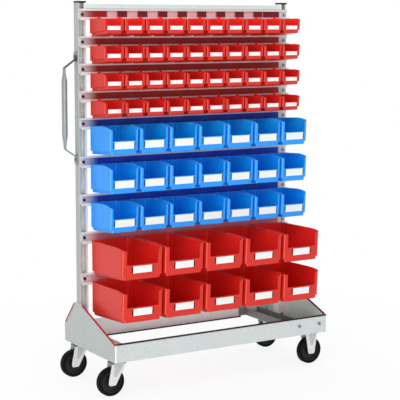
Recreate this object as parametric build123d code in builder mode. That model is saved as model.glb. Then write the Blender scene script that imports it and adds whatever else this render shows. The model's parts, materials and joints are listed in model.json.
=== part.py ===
from build123d import *
import os

# Bin trolley: a wheeled rack whose rails carry open-front storage bins. All sizes are in millimetres.
# X runs along the trolley, with the push handle at the -X end. Y runs from the bin fronts to the back.
# Z is up from the floor. The origin lies on the floor, under the middle of the base.

# Wheels and castors
wheel_diameter = 125
tyre_width = 30
tyre_shoulder = 5
rim_diameter = 96
rim_width = 26
rim_recess = 6
hub_diameter = 40
bore_clearance = 0.06
axle_diameter = 10
axle_flats = 16
axle_head = 6
castor_trail = 34
fork_gap = 40
hub_gap = 0.3
fork_sheet = 4
fork_half_top = 34
fork_end_width = 36
fork_end_height = 28
fork_end_round = 8
castor_head = 37
castor_plate = 4
castor_plate_length = 105
castor_plate_width = 80
castor_bolts_long = 80
castor_bolts_wide = 60
race_diameter = 68
race_height = 6
swivel_gap = 0.3
crown_height = 5
crown_ring = 8
crown_ring_height = 2
kingpin_diameter = 14
kingpin_head_diameter = 24
kingpin_head = 5
castor_front_inset = 80
castor_rear_inset = 52
swivel_inset = 52
fixed_inset = 41

# Base
base_width = 1122
base_depth = 496
panel_sheet = 2.5
panel_height = 82
panel_rise = 116
apex_ahead = 10
apex_behind = 14
flange_top_gap = 1
floor_flange = 45
long_flange = 25
bearer_sheet = 3
bearer_outer = 57
bearer_gap = 2.5
bearer_width = 73
bearer_depth = 35
bearer_tab = 40
tab_height = 60
panel_bolt_height = 44
tab_bolt_reach = 23
end_bolt_reach = 37
trim_width = 6.5
trim_cover = 7
trim_lip = 5
trim_inset = 9
trim_clearance = 0.1

# Uprights and crossbeam
strut_size = 41
strut_wall = 2.5
strut_slot = 22
strut_lip = 7.5
strut_radius = 3
upright_setback = 334
upright_above = 63
cap_height = 8
cap_chamfer = 1.6
cap_overhang = 0.5
cap_plug = 18
cap_clearance = 0.4
beam_depth = 21
beam_drop = 5
angle_sheet = 4
angle_leg = 40
angle_width = 34
foot_sheet = 3
foot_leg = 38
foot_height = 150
foot_bolt_low = 22
foot_bolt_high = 125

# Rails
rail_end_gap = 3.5
rail_sheet = 2
rail_reach = 24
rail_above = 37
rail_hood = 10
rail_hood_drop = 9
rail_lip = 10.6
rail_fall = 6
rail_bolt_height = 12
large_first_lip = 299
large_row_pitch = 186
medium_row_pitch = 170
small_row_pitch = 120

# Bins
bin_wall = 2.5
foot_step = 16
foot_inset = 16
lip_gap = 0.5
hook_sheet = 2.5
hook_room = 3
hook_clear = 0.95
hook_margin = 14
card_sheet = 0.8

large_width = 200
large_gap = 10
large_depth = 308
large_height = 134
large_front = 61
large_lean = 8
large_post = 22
large_rise = 5
large_mouth = 62
large_fall = 11
large_card_width = 92
large_card_height = 31
large_card_below = 5

medium_width = 143
medium_gap = 7
medium_depth = 202.5
medium_height = 115
medium_front = 62
medium_lean = 6
medium_post = 14
medium_rise = 1
medium_mouth = 55
medium_fall = 8
medium_card_width = 95
medium_card_height = 32
medium_card_below = 3

small_width = 100
small_gap = 4
small_depth = 146.5
small_height = 72
small_front = 38
small_lean = 4
small_post = 12
small_rise = -2
small_mouth = 42
small_fall = 10
small_card_width = 63
small_card_height = 17
small_card_below = 2

# Push handle
handle_diameter = 25
handle_standoff = 58
handle_rise = 50
handle_low = 1008
handle_span = 458
handle_flat = 6
handle_flat_width = 28
handle_bend = 10
handle_flat_run = 14
handle_taper = 44
handle_tab_over = 16
handle_tab_root = 12

# Fasteners
bolt_diameter = 8
bolt_length = 18
bolt_flats = 13
bolt_head = 5.3
nut_height = 6.5
hole_clearance = 0.25
channel_nut_length = 34
channel_nut_width = 20
channel_nut_height = 8

# Heights and places that follow from the sizes above
base_bottom = wheel_diameter + castor_head
base_half = base_width / 2
depth_half = base_depth / 2
inner_half = base_half - panel_sheet
inner_depth = depth_half - panel_sheet
panel_top = base_bottom + panel_height
apex_top = panel_top + panel_rise
flange_top = base_bottom + panel_sheet
upright_face = upright_setback - depth_half
upright_x = inner_half - strut_size / 2
upright_y = upright_face + strut_size / 2
strut_inner = strut_size - 2 * strut_wall
strut_lip_x = strut_slot / 2 + strut_wall / 2
beam_half = upright_x - strut_size / 2
hole_radius = bolt_diameter / 2 + hole_clearance
bearer_far = base_half - bearer_outer
bearer_near = bearer_far - bearer_width
bearer_middle = (bearer_near + bearer_far) / 2
end_flange = inner_half - bearer_far - bearer_gap
axle_height = wheel_diameter / 2
front_castor_y = castor_front_inset - depth_half
rear_castor_y = depth_half - castor_rear_inset
swivel_x = swivel_inset - base_half
fixed_x = base_half - fixed_inset
plate_bottom = base_bottom - castor_plate
race_bottom = plate_bottom - race_height
crown_top = race_bottom - swivel_gap - crown_ring_height
crown_bottom = crown_top - crown_height
handle_face = -inner_half
handle_x = handle_face - handle_standoff

# Rows of bins from the top down, each with the height of the rail lip it hangs on
large_lips = [base_bottom + large_first_lip + large_row_pitch, base_bottom + large_first_lip]
medium_lips = [large_lips[0] + medium_row_pitch * step for step in (3, 2, 1)]
small_lips = [medium_lips[0] + small_row_pitch * step for step in (4, 3, 2, 1)]
all_lips = small_lips + medium_lips + large_lips
upright_top = all_lips[0] + upright_above
beam_top = upright_top - beam_drop
beam_bottom = beam_top - beam_depth
rail_half = inner_half - rail_end_gap
rail_slope = rail_fall / (rail_reach - 2 * rail_sheet)
hook_drop = rail_lip - rail_slope * (hook_room + hook_sheet) - hook_clear

os.makedirs("parts", exist_ok=True)


def strut_section(depth):
    """Draws a lipped channel, its slot towards local -Y, on the sketch in hand."""
    front = -depth / 2
    RectangleRounded(strut_size, depth, strut_radius)
    Rectangle(strut_inner, depth - 2 * strut_wall, mode=Mode.SUBTRACT)
    with Locations((0, front + strut_wall / 2)):
        Rectangle(strut_slot, strut_wall, mode=Mode.SUBTRACT)
    with Locations((-strut_lip_x, front + strut_lip / 2), (strut_lip_x, front + strut_lip / 2)):
        Rectangle(strut_wall, strut_lip)


# Seats of the fasteners: planes on the clamped face, with the normal towards the bolt's head
rail_seat_y = upright_face - rail_sheet
rail_seats = [
    Plane(origin=(side * upright_x, rail_seat_y, lip + rail_bolt_height), z_dir=(0, -1, 0))
    for lip in all_lips
    for side in (-1, 1)
]
foot_seats = [
    Plane(origin=(side * upright_x, upright_face - foot_sheet, flange_top + height), z_dir=(0, -1, 0))
    for height in (foot_bolt_low, foot_bolt_high)
    for side in (-1, 1)
]
angle_bolt = angle_sheet + (angle_leg - angle_sheet) / 2
angle_face = beam_half - angle_sheet
beam_seats = [
    Plane(origin=(side * (beam_half - angle_bolt), upright_y, beam_bottom - angle_sheet), z_dir=(0, 0, -1))
    for side in (-1, 1)
]
angle_seats = [
    Plane(origin=(side * angle_face, upright_y, beam_bottom - angle_bolt), z_dir=(-side, 0, 0))
    for side in (-1, 1)
]
handle_seats = [
    Plane(origin=(handle_face - handle_flat, upright_y, height), z_dir=(-1, 0, 0))
    for height in (handle_low, handle_low + handle_span)
]
panel_bolt_z = base_bottom + panel_bolt_height
panel_bolt_x = [bearer_near - tab_bolt_reach, inner_half - end_bolt_reach]
panel_seats = [
    Plane(origin=(side * reach, face * depth_half, panel_bolt_z), z_dir=(0, face, 0))
    for face in (-1, 1)
    for reach in panel_bolt_x
    for side in (-1, 1)
]
castor_centres = [
    (swivel_x, front_castor_y),
    (swivel_x, rear_castor_y),
    (fixed_x, front_castor_y),
    (fixed_x, rear_castor_y),
]
castor_seats = [
    Plane(origin=(x + dx, y + dy, plate_bottom), z_dir=(0, 0, -1))
    for x, y in castor_centres
    for dx in (-castor_bolts_wide / 2, castor_bolts_wide / 2)
    for dy in (-castor_bolts_long / 2, castor_bolts_long / 2)
]
bolt_seats = rail_seats + foot_seats + beam_seats + angle_seats + handle_seats + panel_seats + castor_seats

# Uprights: lipped channels, slot to the front, standing on the end panels' floor flanges
for side, sign in (("left", -1), ("right", 1)):
    with BuildPart() as upright:
        with BuildSketch(Plane(origin=(sign * upright_x, upright_y, flange_top))):
            strut_section(strut_size)
        extrude(amount=upright_top - flange_top)
        wall_seats = [seat for seat in angle_seats if seat.origin.X * sign > 0]
        if sign < 0:
            wall_seats = wall_seats + handle_seats
        with BuildSketch(*wall_seats):
            Circle(hole_radius)
        extrude(amount=-bolt_length, mode=Mode.SUBTRACT)
    upright.part.label = f"{side}_upright"
    export_step(upright.part, f"parts/{side}_upright.step")

# Plastic caps on the uprights' top ends, each with a plug down the channel
cap_size = strut_size + 2 * cap_overhang
plug_size = strut_inner - 2 * cap_clearance
plug_depth = strut_inner - strut_lip + strut_wall - 2 * cap_clearance
cap_planes = [Plane(origin=(sign * upright_x, upright_y, upright_top)) for sign in (-1, 1)]
with BuildPart() as upright_caps:
    with BuildSketch(*cap_planes):
        RectangleRounded(cap_size, cap_size, strut_radius)
    extrude(amount=cap_height)
    chamfer(upright_caps.faces().group_by(Axis.Z)[-1].edges(), cap_chamfer)
    with BuildSketch(*cap_planes):
        with Locations((0, (strut_inner - plug_depth) / 2 - cap_clearance)):
            Rectangle(plug_size, plug_depth)
    extrude(amount=-cap_plug)
upright_caps.part.label = "upright_caps"
export_step(upright_caps.part, "parts/upright_caps.step")

# Crossbeam between the uprights' tops, a low channel with its slot down
beam_middle = beam_bottom + beam_depth / 2
beam_plane = Plane(origin=(-beam_half, upright_y, beam_middle), x_dir=(0, 1, 0), z_dir=(1, 0, 0))
with BuildPart() as top_crossbeam:
    with BuildSketch(beam_plane):
        strut_section(beam_depth)
    extrude(amount=2 * beam_half)
top_crossbeam.part.label = "top_crossbeam"
export_step(top_crossbeam.part, "parts/top_crossbeam.step")

# Angles: two under the crossbeam's ends, and two that hold the uprights' feet to the end panels
with BuildPart() as angle_brackets:
    for sign in (-1, 1):
        with BuildSketch(Plane.XZ.offset(-upright_y)):
            with BuildLine():
                Polyline(
                    (sign * beam_half, beam_bottom),
                    (sign * (beam_half - angle_leg), beam_bottom),
                    (sign * (beam_half - angle_leg), beam_bottom - angle_sheet),
                    (sign * (beam_half - angle_sheet), beam_bottom - angle_sheet),
                    (sign * (beam_half - angle_sheet), beam_bottom - angle_leg),
                    (sign * beam_half, beam_bottom - angle_leg),
                    close=True,
                )
            make_face()
    extrude(amount=angle_width / 2, both=True)
    for sign in (-1, 1):
        with BuildSketch(Plane.XY.offset(flange_top)):
            with BuildLine():
                Polyline(
                    (sign * inner_half, upright_face),
                    (sign * (inner_half - strut_size), upright_face),
                    (sign * (inner_half - strut_size), upright_face - foot_sheet),
                    (sign * (inner_half - foot_sheet), upright_face - foot_sheet),
                    (sign * (inner_half - foot_sheet), upright_face - foot_leg),
                    (sign * inner_half, upright_face - foot_leg),
                    close=True,
                )
            make_face()
    extrude(amount=foot_height)
    with BuildSketch(*beam_seats, *angle_seats, *foot_seats):
        Circle(hole_radius)
    extrude(amount=-bolt_length, mode=Mode.SUBTRACT)
angle_brackets.part.label = "angle_brackets"
export_step(angle_brackets.part, "parts/angle_brackets.step")

# Rails: a back plate with a small hood above and a sloping tray below, whose upturned lip carries the bins
rail_under = rail_sheet * (1 + rail_slope**2) ** 0.5
tray_back = rail_fall - rail_lip
for number, lip in enumerate(all_lips, start=1):
    with BuildPart() as bin_rail:
        with BuildSketch(Plane(origin=(-rail_half, upright_face, lip), x_dir=(0, 1, 0), z_dir=(1, 0, 0))):
            with BuildLine():
                Polyline(
                    (0, rail_above),
                    (-rail_hood, rail_above),
                    (-rail_hood, rail_above - rail_hood_drop),
                    (rail_sheet - rail_hood, rail_above - rail_hood_drop),
                    (rail_sheet - rail_hood, rail_above - rail_sheet),
                    (-rail_sheet, rail_above - rail_sheet),
                    (-rail_sheet, tray_back),
                    (rail_sheet - rail_reach, -rail_lip),
                    (rail_sheet - rail_reach, 0),
                    (-rail_reach, 0),
                    (-rail_reach, -rail_lip - rail_sheet * rail_slope - rail_under),
                    (0, tray_back + rail_sheet * rail_slope - rail_under),
                    close=True,
                )
            make_face()
        extrude(amount=2 * rail_half)
        with BuildSketch(*[seat for seat in rail_seats if abs(seat.origin.Z - lip - rail_bolt_height) < 1]):
            Circle(hole_radius)
        extrude(amount=-bolt_length, mode=Mode.SUBTRACT)
    bin_rail.part.label = f"bin_rail_{number}"
    export_step(bin_rail.part, f"parts/bin_rail_{number}.step")

# End panels: folded sheet with sloping shoulders that rise to the upright
for side, sign in (("left", -1), ("right", 1)):
    with BuildPart() as end_panel:
        with BuildSketch(Plane.YZ.offset(sign * inner_half)):
            with BuildLine():
                Polyline(
                    (-inner_depth, base_bottom),
                    (inner_depth, base_bottom),
                    (inner_depth, panel_top),
                    (upright_face + strut_size + apex_behind, apex_top),
                    (upright_face - apex_ahead, apex_top),
                    (-inner_depth, panel_top),
                    close=True,
                )
            make_face()
        extrude(amount=sign * panel_sheet)
        with BuildSketch(Plane.XY.offset(base_bottom)):
            with Locations((sign * (inner_half - floor_flange / 2), 0)):
                Rectangle(floor_flange, 2 * inner_depth)
        extrude(amount=panel_sheet)
        with BuildSketch(Plane.XY.offset(base_bottom)):
            for face in (-1, 1):
                flange_y = face * (inner_depth - panel_sheet / 2)
                with Locations((sign * (inner_half - end_flange / 2), flange_y)):
                    Rectangle(end_flange, panel_sheet)
        extrude(amount=panel_height - trim_lip - flange_top_gap)
        end_seats = [seat for seat in panel_seats + castor_seats if seat.origin.X * sign > bearer_far]
        with BuildSketch(*end_seats):
            Circle(hole_radius)
        extrude(amount=-bolt_length, mode=Mode.SUBTRACT)
    end_panel.part.label = f"{side}_end_panel"
    export_step(end_panel.part, f"parts/{side}_end_panel.step")

# Front and rear panels: plain folded sheets between and over the end panels' flanges
tab_far = bearer_near - bearer_tab
for name, face in (("front_panel", -1), ("rear_panel", 1)):
    with BuildPart() as long_panel:
        with BuildSketch(Plane.XY.offset(base_bottom)):
            with Locations((0, face * (depth_half - panel_sheet / 2))):
                Rectangle(base_width, panel_sheet)
        extrude(amount=panel_height)
        with BuildSketch(Plane.XY.offset(base_bottom)):
            with Locations((0, face * (inner_depth - long_flange / 2))):
                Rectangle(2 * (tab_far - panel_sheet), long_flange)
        extrude(amount=panel_sheet)
        with BuildSketch(*[seat for seat in panel_seats if seat.origin.Y * face > 0]):
            Circle(hole_radius)
        extrude(amount=-bolt_length, mode=Mode.SUBTRACT)
    long_panel.part.label = name
    export_step(long_panel.part, f"parts/{name}.step")

# Bearers: channels across the base that carry the castors, with tabs bolted to the long panels
with BuildPart() as castor_bearers:
    with BuildSketch(Plane.XZ.offset(inner_depth)):
        for sign in (-1, 1):
            with Locations((sign * bearer_middle, base_bottom + bearer_depth / 2)):
                Rectangle(bearer_width, bearer_depth)
            with Locations((sign * bearer_middle, base_bottom + bearer_depth / 2 + bearer_sheet)):
                Rectangle(bearer_width - 2 * bearer_sheet, bearer_depth, mode=Mode.SUBTRACT)
    extrude(amount=-2 * inner_depth)
    with BuildSketch(Plane.XY.offset(base_bottom)):
        for sign in (-1, 1):
            for face in (-1, 1):
                tab_x = sign * (bearer_near - bearer_tab / 2 + bearer_sheet / 2)
                with Locations((tab_x, face * (inner_depth - bearer_sheet / 2))):
                    Rectangle(bearer_tab + bearer_sheet, bearer_sheet)
    extrude(amount=tab_height)
    bearer_seats = [seat for seat in panel_seats + castor_seats if abs(seat.origin.X) < bearer_far]
    with BuildSketch(*bearer_seats):
        Circle(hole_radius)
    extrude(amount=-bolt_length, mode=Mode.SUBTRACT)
castor_bearers.part.label = "castor_bearers"
export_step(castor_bearers.part, "parts/castor_bearers.step")


def trim_along(start, end, sheet_middle, across):
    """Makes a U-shaped edge trim from start to end, over a sheet whose edge runs between them."""
    run = end - start
    outward = across.cross(run).normalized()
    if outward.Z < 0:
        outward = outward * -1
    slot = panel_sheet + 2 * trim_clearance
    with BuildPart() as strip:
        foot = Plane(origin=start + sheet_middle, x_dir=across, z_dir=run.normalized())
        with BuildSketch(foot):
            upward = 1 if foot.y_dir.dot(outward) > 0 else -1
            with Locations((0, upward * (trim_cover / 2 - trim_lip))):
                Rectangle(trim_width, trim_cover)
            with Locations((0, -upward * trim_lip / 2)):
                Rectangle(slot, trim_lip, mode=Mode.SUBTRACT)
        extrude(amount=run.length)
    return strip.part


# Red edge trims on the sloping shoulders of the end panels and along the front panel's top edge
shoulder_front = Vector(0, upright_face - apex_ahead, apex_top)
shoulder_rear = Vector(0, upright_face + strut_size + apex_behind, apex_top)
corner_front = Vector(0, -inner_depth, panel_top)
corner_rear = Vector(0, inner_depth, panel_top)


def shortened(start, end, cut):
    """Gives the line from start to end with both ends drawn in by a cut."""
    step = (end - start).normalized() * cut
    return start + step, end - step


with BuildPart() as edge_trims:
    for sign in (-1, 1):
        middle = Vector(sign * (inner_half + panel_sheet / 2), 0, 0)
        for high, low in ((shoulder_front, corner_front), (shoulder_rear, corner_rear)):
            near, far = shortened(high, low, trim_inset)
            add(trim_along(near, far, middle, Vector(1, 0, 0)))
    front_middle = Vector(0, panel_sheet / 2 - depth_half, panel_top)
    front_half = base_half - trim_inset
    add(trim_along(Vector(-front_half, 0, 0), Vector(front_half, 0, 0), front_middle, Vector(0, 1, 0)))
edge_trims.part.label = "edge_trims"
export_step(edge_trims.part, "parts/edge_trims.step")

# Push handle: a tube on the left upright, its ends pressed flat, bent and bolted to the upright's side
handle_high = handle_low + handle_span
round_inset = handle_rise + handle_flat_run + handle_taper
tab_middle = handle_face - handle_flat / 2
tab_length = 2 * handle_tab_over + handle_flat_width / 2
with BuildPart() as push_handle:
    with BuildSketch(Plane(origin=(handle_x, upright_y, handle_low + round_inset))):
        Circle(handle_diameter / 2)
    extrude(amount=handle_span - 2 * round_inset)
    for inward, fixing in ((-1, handle_high), (1, handle_low)):
        bend_end = Vector(handle_x, upright_y, fixing + inward * (handle_rise + handle_flat_run))
        taper_end = bend_end + Vector(0, 0, inward * handle_taper)
        with BuildLine() as flat_path:
            FilletPolyline(
                (tab_middle, upright_y, fixing + inward * handle_tab_root),
                (handle_x, upright_y, fixing + inward * handle_rise),
                bend_end,
                radius=handle_bend,
            )
        with BuildSketch(Plane(origin=flat_path.line @ 0, z_dir=flat_path.line % 0, x_dir=(0, 1, 0))):
            Ellipse(handle_flat_width / 2, handle_flat / 2)
        sweep(path=flat_path.line)
        with BuildSketch(Plane(origin=bend_end, z_dir=(0, 0, inward), x_dir=(0, 1, 0))):
            Ellipse(handle_flat_width / 2, handle_flat / 2)
        with BuildSketch(Plane(origin=taper_end, z_dir=(0, 0, inward), x_dir=(0, 1, 0))):
            Circle(handle_diameter / 2)
        loft()
        with BuildSketch(Plane(origin=(handle_face, upright_y, fixing), x_dir=(0, 1, 0), z_dir=(-1, 0, 0))):
            SlotOverall(tab_length, handle_flat_width, rotation=90)
        extrude(amount=handle_flat)
    with BuildSketch(*handle_seats):
        Circle(hole_radius)
    extrude(amount=-bolt_length, mode=Mode.SUBTRACT)
push_handle.part.label = "push_handle"
export_step(push_handle.part, "parts/push_handle.step")

# Hexagon bolts, all of one size
with BuildPart() as hex_bolts:
    with BuildSketch(*bolt_seats):
        RegularPolygon(bolt_flats / 2, 6, major_radius=False)
    extrude(amount=bolt_head)
    with BuildSketch(*bolt_seats):
        Circle(bolt_diameter / 2)
    extrude(amount=-bolt_length)
hex_bolts.part.label = "hex_bolts"
export_step(hex_bolts.part, "parts/hex_bolts.step")


def nut_plane(seat, grip):
    """Gives the plane under a nut, on the far side of what the bolt clamps."""
    return Plane(origin=seat.origin - seat.z_dir * grip, x_dir=seat.x_dir, z_dir=-seat.z_dir)


# Hexagon nuts on the far side of the panels, castor plates, handle and angles
inner_castor_seats = [seat for seat in castor_seats if abs(seat.origin.X) < bearer_far]
outer_castor_seats = [seat for seat in castor_seats if abs(seat.origin.X) > bearer_far]
tab_seats = [seat for seat in panel_seats if abs(seat.origin.X) < bearer_near]
flange_seats = [seat for seat in panel_seats if abs(seat.origin.X) > bearer_near]
nut_planes = [nut_plane(seat, castor_plate + bearer_sheet) for seat in inner_castor_seats]
nut_planes += [nut_plane(seat, castor_plate + panel_sheet) for seat in outer_castor_seats]
nut_planes += [nut_plane(seat, panel_sheet + bearer_sheet) for seat in tab_seats]
nut_planes += [nut_plane(seat, 2 * panel_sheet) for seat in flange_seats]
nut_planes += [nut_plane(seat, angle_sheet + strut_wall) for seat in angle_seats]
nut_planes += [nut_plane(seat, handle_flat + strut_wall) for seat in handle_seats]
with BuildPart() as hex_nuts:
    with BuildSketch(*nut_planes):
        RegularPolygon(bolt_flats / 2, 6, major_radius=False)
        Circle(hole_radius, mode=Mode.SUBTRACT)
    extrude(amount=nut_height)
hex_nuts.part.label = "hex_nuts"
export_step(hex_nuts.part, "parts/hex_nuts.step")

# Channel nuts, which hold against the lips inside the uprights and the crossbeam
channel_planes = [nut_plane(seat, rail_sheet + strut_lip) for seat in rail_seats]
channel_planes += [nut_plane(seat, foot_sheet + strut_lip) for seat in foot_seats]
channel_planes += [nut_plane(seat, angle_sheet + strut_lip) for seat in beam_seats]
with BuildPart() as channel_nuts:
    with BuildSketch(*channel_planes):
        Rectangle(channel_nut_length, channel_nut_width)
        Circle(hole_radius, mode=Mode.SUBTRACT)
    extrude(amount=channel_nut_height)
channel_nuts.part.label = "channel_nuts"
export_step(channel_nuts.part, "parts/channel_nuts.step")


def fork_leg(top_x, top_z, axle_x):
    """Draws one side of a fork on an XZ sketch: wide at the top, with a rounded end about the axle."""
    with BuildSketch(mode=Mode.PRIVATE) as leg:
        with Locations((axle_x, axle_height)):
            RectangleRounded(fork_end_width, fork_end_height, fork_end_round)
        with Locations((top_x, top_z - fork_sheet / 2)):
            Rectangle(2 * fork_half_top, fork_sheet)
        make_hull()
    add(leg.sketch)


# Castors: the two at the handle end swivel and trail behind the swivel axis, the far two are fixed
leg_middle = fork_gap / 2 + fork_sheet / 2
for end, y in (("front", front_castor_y), ("rear", rear_castor_y)):
    with BuildPart() as swivel_plate:
        with BuildSketch(Plane(origin=(swivel_x, y, plate_bottom))):
            RectangleRounded(castor_plate_width, castor_plate_length, castor_plate)
        extrude(amount=castor_plate)
        with BuildSketch(Plane(origin=(swivel_x, y, plate_bottom))):
            Circle(race_diameter / 2)
        extrude(amount=-race_height)
        with BuildSketch(*[seat for seat in castor_seats if seat.origin.X < 0]):
            Circle(hole_radius)
        extrude(amount=-bolt_length, mode=Mode.SUBTRACT)
        with BuildSketch(Plane(origin=(swivel_x, y, base_bottom))):
            Circle(kingpin_diameter / 2 + bore_clearance)
        extrude(amount=-castor_head, mode=Mode.SUBTRACT)
    swivel_plate.part.label = f"{end}_left_swivel_plate"
    export_step(swivel_plate.part, f"parts/{end}_left_swivel_plate.step")

    with BuildPart() as swivel_fork:
        with BuildSketch(Plane(origin=(swivel_x, y, crown_bottom))):
            Rectangle(2 * fork_half_top, fork_gap + 2 * fork_sheet)
        extrude(amount=crown_height)
        with BuildSketch(Plane(origin=(swivel_x, y, crown_top))):
            Circle(kingpin_diameter / 2 + crown_ring)
        extrude(amount=crown_ring_height)
        for face in (-1, 1):
            with BuildSketch(Plane.XZ.offset(-(y + face * leg_middle))):
                fork_leg(swivel_x, crown_top, swivel_x - castor_trail)
            extrude(amount=fork_sheet / 2, both=True)
        with BuildSketch(Plane(origin=(swivel_x, y, base_bottom))):
            Circle(kingpin_diameter / 2 + bore_clearance)
        extrude(amount=-castor_head, mode=Mode.SUBTRACT)
        with BuildSketch(Plane(origin=(swivel_x - castor_trail, y, axle_height), z_dir=(0, 1, 0))):
            Circle(axle_diameter / 2 + bore_clearance)
        extrude(amount=fork_gap, both=True, mode=Mode.SUBTRACT)
    swivel_fork.part.label = f"{end}_left_fork"
    export_step(swivel_fork.part, f"parts/{end}_left_fork.step")

    with BuildPart() as fixed_fork:
        with BuildSketch(Plane(origin=(fixed_x, y, plate_bottom))):
            RectangleRounded(castor_plate_width, castor_plate_length, castor_plate)
        extrude(amount=castor_plate)
        for face in (-1, 1):
            with BuildSketch(Plane.XZ.offset(-(y + face * leg_middle))):
                fork_leg(fixed_x, plate_bottom + fork_sheet / 2, fixed_x)
            extrude(amount=fork_sheet / 2, both=True)
        with BuildSketch(*[seat for seat in castor_seats if seat.origin.X > 0]):
            Circle(hole_radius)
        extrude(amount=-bolt_length, mode=Mode.SUBTRACT)
        with BuildSketch(Plane(origin=(fixed_x, y, axle_height), z_dir=(0, 1, 0))):
            Circle(axle_diameter / 2 + bore_clearance)
        extrude(amount=fork_gap, both=True, mode=Mode.SUBTRACT)
    fixed_fork.part.label = f"{end}_right_fixed_fork"
    export_step(fixed_fork.part, f"parts/{end}_right_fixed_fork.step")

# Kingpins: riveted through the swivel plates, their lower heads hold the forks up
with BuildPart() as kingpins:
    for y in (front_castor_y, rear_castor_y):
        with BuildSketch(Plane(origin=(swivel_x, y, base_bottom))):
            Circle(kingpin_diameter / 2)
        extrude(amount=-(base_bottom - crown_bottom + swivel_gap))
        with BuildSketch(Plane(origin=(swivel_x, y, crown_bottom - swivel_gap))):
            Circle(kingpin_head_diameter / 2)
        extrude(amount=-kingpin_head)
kingpins.part.label = "kingpins"
export_step(kingpins.part, "parts/kingpins.step")

# Wheels, tyres and axles, the same at all four corners
hub_width = fork_gap - 2 * hub_gap
axle_reach = fork_gap / 2 + fork_sheet
wheel_places = [
    ("front_left", swivel_x - castor_trail, front_castor_y),
    ("rear_left", swivel_x - castor_trail, rear_castor_y),
    ("front_right", fixed_x, front_castor_y),
    ("rear_right", fixed_x, rear_castor_y),
]
for corner, x, y in wheel_places:
    wheel_plane = Plane(origin=(x, y, axle_height), x_dir=(1, 0, 0), z_dir=(0, 1, 0))
    face_planes = [
        Plane(origin=(x, y + face * rim_width / 2, axle_height), x_dir=(1, 0, 0), z_dir=(0, face, 0))
        for face in (-1, 1)
    ]
    with BuildPart() as wheel:
        with BuildSketch(wheel_plane):
            Circle(rim_diameter / 2)
        extrude(amount=rim_width / 2, both=True)
        with BuildSketch(*face_planes):
            Circle(rim_diameter / 2 - rim_recess)
            Circle(hub_diameter / 2, mode=Mode.SUBTRACT)
        extrude(amount=-rim_recess, mode=Mode.SUBTRACT)
        with BuildSketch(wheel_plane):
            Circle(hub_diameter / 2)
        extrude(amount=hub_width / 2, both=True)
        with BuildSketch(wheel_plane):
            Circle(axle_diameter / 2 + bore_clearance)
        extrude(amount=hub_width, both=True, mode=Mode.SUBTRACT)
    wheel.part.label = f"{corner}_wheel"
    export_step(wheel.part, f"parts/{corner}_wheel.step")

    with BuildPart() as tyre:
        with BuildSketch(wheel_plane):
            Circle(wheel_diameter / 2)
        extrude(amount=tyre_width / 2, both=True)
        fillet(tyre.edges().filter_by(GeomType.CIRCLE), tyre_shoulder)
        with BuildSketch(wheel_plane):
            Circle(rim_diameter / 2)
        extrude(amount=tyre_width, both=True, mode=Mode.SUBTRACT)
    tyre.part.label = f"{corner}_tyre"
    export_step(tyre.part, f"parts/{corner}_tyre.step")


def axle_bolts(centres):
    """Makes the wheel axles at the given centres, each with a hexagon head at both ends."""
    middles = [Plane(origin=(x, y, axle_height), x_dir=(1, 0, 0), z_dir=(0, 1, 0)) for x, y in centres]
    ends = [
        Plane(origin=(x, y + face * axle_reach, axle_height), x_dir=(1, 0, 0), z_dir=(0, face, 0))
        for x, y in centres
        for face in (-1, 1)
    ]
    with BuildPart() as axle:
        with BuildSketch(*middles):
            Circle(axle_diameter / 2)
        extrude(amount=axle_reach, both=True)
        with BuildSketch(*ends):
            RegularPolygon(axle_flats / 2, 6, major_radius=False)
        extrude(amount=axle_head)
    return axle.part


# Axles: one in each swivelling fork, and the pair in the fixed forks
wheel_centres = {corner: (x, y) for corner, x, y in wheel_places}
axle_nodes = {
    "front_left_axle": ["front_left"],
    "rear_left_axle": ["rear_left"],
    "right_axles": ["front_right", "rear_right"],
}
for name, corners in axle_nodes.items():
    axle = axle_bolts([wheel_centres[corner] for corner in corners])
    axle.label = name
    export_step(axle, f"parts/{name}.step")


def bin_shell(width, depth, height, front, lean, post, rise, mouth, fall):
    """Makes an open-front bin, rear face on local Y=0, foot on Z=0, rims falling at the mouth."""
    seat = height - rise
    hook_in = lip_gap + rail_sheet + hook_room
    front_in = bin_wall - depth
    post_top = height - fall

    with BuildPart() as shell:
        with BuildSketch(Plane.YZ):
            with BuildLine():
                Polyline(
                    (0, 0),
                    (0, height),
                    (mouth - depth, height),
                    (-depth, post_top),
                    (lean - depth, 0),
                    close=True,
                )
            make_face()
        extrude(amount=width / 2, both=True)
        with BuildSketch(Plane.XZ):
            for sign in (-1, 1):
                with Locations((sign * (width - foot_inset) / 2, foot_step / 2)):
                    Rectangle(foot_inset, foot_step)
        extrude(amount=depth, mode=Mode.SUBTRACT)
        inside = width / 2 - bin_wall
        cavities = ((foot_step + bin_wall, inside), (bin_wall, inside - foot_inset))
        for low, half_width in cavities:
            with BuildSketch(Plane.YZ):
                with BuildLine():
                    Polyline(
                        (-bin_wall, low),
                        (-bin_wall, height),
                        (front_in, height),
                        (front_in, post_top),
                        (front_in + lean * (post_top - low) / post_top, low),
                        close=True,
                    )
                make_face()
            extrude(amount=half_width, both=True, mode=Mode.SUBTRACT)
        with BuildSketch(Plane.XZ.offset(depth)):
            with Locations((0, (front + height) / 2)):
                Rectangle(width - 2 * post, height - front)
        extrude(amount=-(lean + 2 * bin_wall), mode=Mode.SUBTRACT)
        with BuildSketch(Plane.YZ):
            with BuildLine():
                Polyline(
                    (-bin_wall, seat - hook_drop),
                    (0, seat - hook_drop),
                    (0, seat),
                    (hook_in, seat),
                    (hook_in, seat - hook_drop),
                    (hook_in + hook_sheet, seat - hook_drop),
                    (hook_in + hook_sheet, seat + hook_sheet),
                    (-bin_wall, seat + hook_sheet),
                    close=True,
                )
            make_face()
        extrude(amount=width / 2 - hook_margin, both=True)
    return shell.part


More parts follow.
